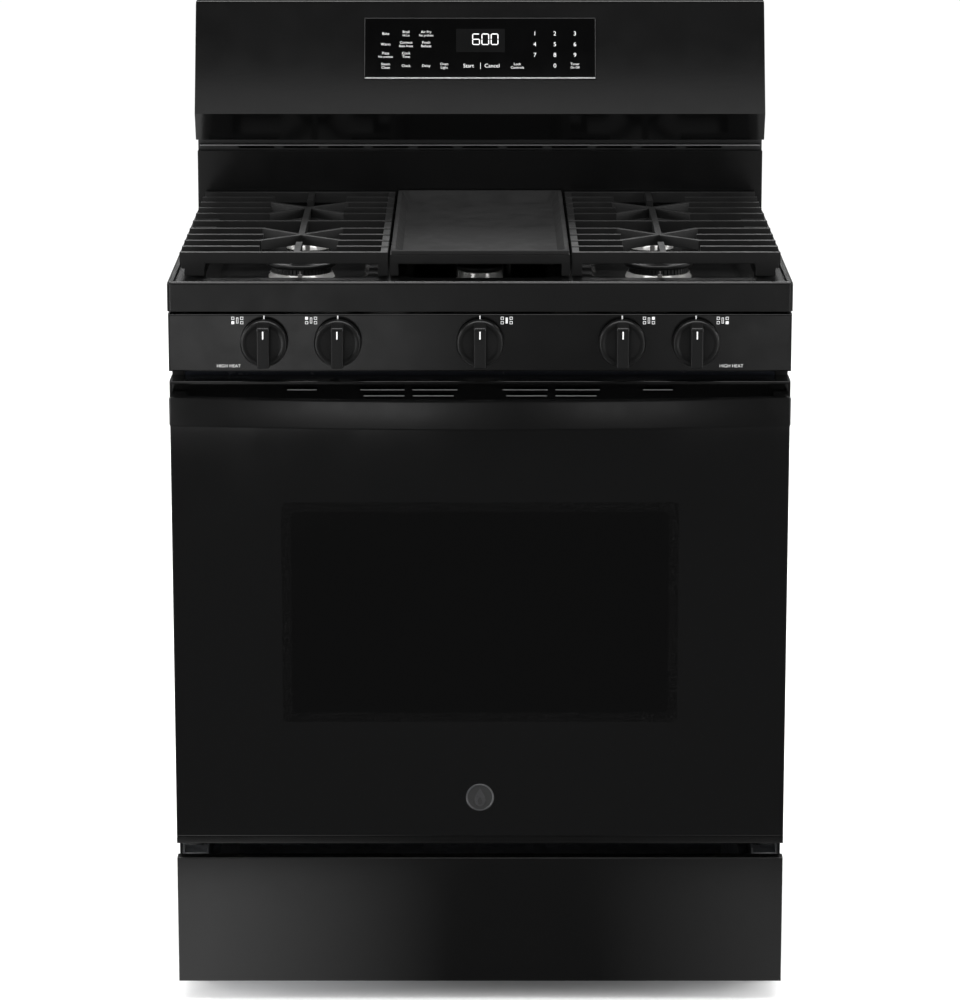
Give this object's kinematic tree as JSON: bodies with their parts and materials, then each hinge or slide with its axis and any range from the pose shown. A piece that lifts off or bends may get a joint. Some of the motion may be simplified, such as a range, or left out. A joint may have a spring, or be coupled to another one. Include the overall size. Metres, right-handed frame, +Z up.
{
  "type": "freestanding gas range",
  "caption": "Black freestanding gas range: sealed-burner cooktop under cast grates and a griddle, oven with drop-down glass door, storage drawer and rear control head.",
  "frame": {"origin": "on the floor, in the middle of the width and of the depth, handle to rear cover", "axes": "+Z up; +Y to the back, so the door, knobs and drawer face -Y; +X to the range's right as seen from the front"},
  "size_m": [0.759, 0.7299, 1.19],
  "materials": {
    "side_paint": "semi-gloss black paint with a faint texture",
    "black_steel": "gloss black enamel paint",
    "top_enamel": "gloss black porcelain enamel",
    "oven_enamel": "dark blue-grey porcelain enamel with fine specks",
    "handle_paint": "gloss black paint",
    "cap_enamel": "matt black porcelain enamel",
    "vent_metal": "satin black paint",
    "galvanised": "galvanised sheet, matt with faint spangle",
    "zinc_steel": "zinc-plated steel, satin",
    "rack_chrome": "bright chrome wire",
    "seal_braid": "braided glass-fibre seal",
    "mineral_wool": "loose mineral wool",
    "lamp_glass": "clear pressed glass",
    "black_glass": "black-backed glass, polished",
    "clear_glass": "heat-reflecting clear glass",
    "touch_glass": "black touch glass with printed labels",
    "badge_metal": "dark satin disc with a bright rim",
    "burner_aluminium": "die-cast aluminium, lightly polished",
    "cast_aluminium": "rough die-cast aluminium",
    "white_ceramic": "glazed white ceramic",
    "grate_iron": "matt black enamelled cast iron",
    "griddle_iron": "matt black non-stick cast metal",
    "valve_brass": "machined brass",
    "knob_plastic": "satin-gloss black with a white pointer line",
    "dark_plastic": "matt black plastic"
  },
  "bodies": {
    "range_body": {"side_panel_left": "side_paint", "side_panel_right": "side_paint", "rear_panel": "galvanised", "base_frame": "galvanised", "leveling_legs": "zinc_steel", "front_frame": "oven_enamel", "door_gasket": "seal_braid", "oven_liner": "oven_enamel", "oven_insulation": "mineral_wool", "bake_burner": "zinc_steel", "broil_burner": "zinc_steel", "oven_racks": "rack_chrome", "fan_cover": "oven_enamel", "fan_motor": "galvanised", "oven_lamp": "lamp_glass", "hinge_arms": "zinc_steel", "drawer_rails": "galvanised", "cooktop": "top_enamel", "round_burner_heads": "burner_aluminium", "oval_burner_head": "burner_aluminium", "round_burner_caps": "cap_enamel", "oval_burner_cap": "cap_enamel", "igniters": "white_ceramic", "manifold_panel": "black_steel", "gas_manifold": "zinc_steel", "gas_valves": "valve_brass", "riser_panel": "top_enamel", "vent_trim": "vent_metal", "control_housing": "black_steel", "control_glass": "touch_glass", "display_module": "dark_plastic", "rear_cover": "galvanised", "gas_regulator": "cast_aluminium", "power_inlet": "dark_plastic", "screws": "zinc_steel"},
    "oven_door": {"door_liner": "black_steel", "door_glass": "black_glass", "door_inner_glass": "clear_glass", "door_top_trim": "black_steel", "door_bottom_trim": "black_steel", "door_handle": "handle_paint", "badge": "badge_metal", "hinge_pins": "zinc_steel"},
    "storage_drawer": {"drawer_front": "black_steel", "drawer_box": "galvanised"},
    "fan_wheel": {"convection_fan": "zinc_steel"},
    "left_grate": {"grate_left": "grate_iron"},
    "right_grate": {"grate_right": "grate_iron"},
    "middle_grate": {"grate_centre": "grate_iron"},
    "griddle_plate": {"griddle": "griddle_iron"},
    "valve_front_left": {"stem_front_left": "valve_brass"},
    "control_front_left": {"knob_front_left": "knob_plastic"},
    "valve_rear_left": {"stem_rear_left": "valve_brass"},
    "control_rear_left": {"knob_rear_left": "knob_plastic"},
    "valve_centre": {"stem_centre": "valve_brass"},
    "control_centre": {"knob_centre": "knob_plastic"},
    "valve_rear_right": {"stem_rear_right": "valve_brass"},
    "control_rear_right": {"knob_rear_right": "knob_plastic"},
    "valve_front_right": {"stem_front_right": "valve_brass"},
    "control_front_right": {"knob_front_right": "knob_plastic"}
  },
  "joints": [
    {"name": "door_hinge", "type": "hinge", "parent": "range_body", "child": "oven_door", "pos_m": [0, -0.27, 0.225], "axis": [1, 0, 0], "range_deg": [0, 90], "stiffness_Nm_per_rad": 5, "springref_deg": -20.05},
    {"name": "drawer_slide", "type": "slide", "parent": "range_body", "child": "storage_drawer", "axis": [0, -1, 0], "range_m": [0, 0.38]},
    {"name": "fan_spin", "type": "hinge", "parent": "range_body", "child": "fan_wheel", "pos_m": [0, 0.25, 0.5], "axis": [0, 1, 0], "continuous": true},
    {"name": "left_grate_lift", "type": "slide", "parent": "range_body", "child": "left_grate", "axis": [0, 0, 1], "range_m": [0, 0.05]},
    {"name": "right_grate_lift", "type": "slide", "parent": "range_body", "child": "right_grate", "axis": [0, 0, 1], "range_m": [0, 0.05]},
    {"name": "middle_grate_lift", "type": "slide", "parent": "range_body", "child": "middle_grate", "axis": [0, 0, 1], "range_m": [0, 0.03]},
    {"name": "griddle_lift", "type": "slide", "parent": "middle_grate", "child": "griddle_plate", "axis": [0, 0, 1], "range_m": [0, 0.035]},
    {"name": "knob_front_left_turn", "type": "hinge", "parent": "range_body", "child": "valve_front_left", "pos_m": [-0.262, -0.3, 0.841], "axis": [0, -1, 0], "range_deg": [0, 240]},
    {"name": "knob_front_left_push", "type": "slide", "parent": "valve_front_left", "child": "control_front_left", "axis": [0, 1, 0], "range_m": [0, 0.0035], "stiffness_N_per_m": 900},
    {"name": "knob_rear_left_turn", "type": "hinge", "parent": "range_body", "child": "valve_rear_left", "pos_m": [-0.1725, -0.3, 0.841], "axis": [0, -1, 0], "range_deg": [0, 240]},
    {"name": "knob_rear_left_push", "type": "slide", "parent": "valve_rear_left", "child": "control_rear_left", "axis": [0, 1, 0], "range_m": [0, 0.0035], "stiffness_N_per_m": 900},
    {"name": "knob_centre_turn", "type": "hinge", "parent": "range_body", "child": "valve_centre", "pos_m": [0, -0.3, 0.841], "axis": [0, -1, 0], "range_deg": [0, 240]},
    {"name": "knob_centre_push", "type": "slide", "parent": "valve_centre", "child": "control_centre", "axis": [0, 1, 0], "range_m": [0, 0.0035], "stiffness_N_per_m": 900},
    {"name": "knob_rear_right_turn", "type": "hinge", "parent": "range_body", "child": "valve_rear_right", "pos_m": [0.1725, -0.3, 0.841], "axis": [0, -1, 0], "range_deg": [0, 240]},
    {"name": "knob_rear_right_push", "type": "slide", "parent": "valve_rear_right", "child": "control_rear_right", "axis": [0, 1, 0], "range_m": [0, 0.0035], "stiffness_N_per_m": 900},
    {"name": "knob_front_right_turn", "type": "hinge", "parent": "range_body", "child": "valve_front_right", "pos_m": [0.262, -0.3, 0.841], "axis": [0, -1, 0], "range_deg": [0, 240]},
    {"name": "knob_front_right_push", "type": "slide", "parent": "valve_front_right", "child": "control_front_right", "axis": [0, 1, 0], "range_m": [0, 0.0035], "stiffness_N_per_m": 900}
  ]
}
